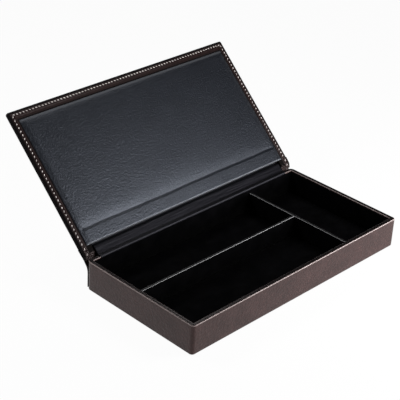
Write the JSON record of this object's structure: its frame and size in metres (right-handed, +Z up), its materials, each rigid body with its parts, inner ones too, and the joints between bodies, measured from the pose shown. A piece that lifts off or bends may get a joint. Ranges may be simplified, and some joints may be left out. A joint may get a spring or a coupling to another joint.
{
  "type": "desk organizer with lift lid",
  "caption": "Low oblong leatherette desk organizer: a velvet-lined tray with long and cross dividers, and a padded, stitched lid on a flexible rear hinge, shown open.",
  "frame": {"origin": "centre of the tray's underside, on the surface that it stands on", "axes": "+X along the tray from left to right as seen from the front, +Y to the rear, where the hinge is, +Z up"},
  "size_m": [0.2722, 0.2436, 0.1315],
  "materials": {
    "board": "matte",
    "card": "matte",
    "brown_leatherette": "satin",
    "lid_leatherette": "satin",
    "black_leatherette": "satin",
    "velvet": "matte",
    "foam": "matte",
    "felt": "matte",
    "thread": "matte"
  },
  "bodies": {
    "tray": {"base_board": "board", "front_wall_board": "board", "rear_wall_board": "board", "left_wall_board": "board", "right_wall_board": "board", "long_divider_core": "board", "cross_divider_core": "board", "wall_cover": "brown_leatherette", "hinge_leather": "lid_leatherette", "rear_flap": "lid_leatherette", "hinge_lining": "black_leatherette", "rear_rim_strip": "black_leatherette", "front_wall_lining": "velvet", "rear_wall_lining": "velvet", "left_wall_lining": "velvet", "right_wall_lining": "velvet", "front_floor_pad": "velvet", "rear_floor_pad": "velvet", "side_floor_pad": "velvet", "long_divider_lining": "velvet", "cross_divider_lining": "velvet", "base_sheet": "felt"},
    "lid": {"lid_board": "board", "lid_infill_card": "card", "lid_foam_panel": "foam", "lid_foam_rail": "foam", "lid_cover": "lid_leatherette", "lid_lining": "black_leatherette"}
  },
  "joints": [
    {"name": "lid_hinge", "type": "hinge", "parent": "tray", "child": "lid", "pos_m": [0, 0.07229, 0.03436], "axis": [-1, 0, 0], "range_deg": [-137.9, 54.8], "deforming": ["hinge_leather", "hinge_lining"]}
  ]
}
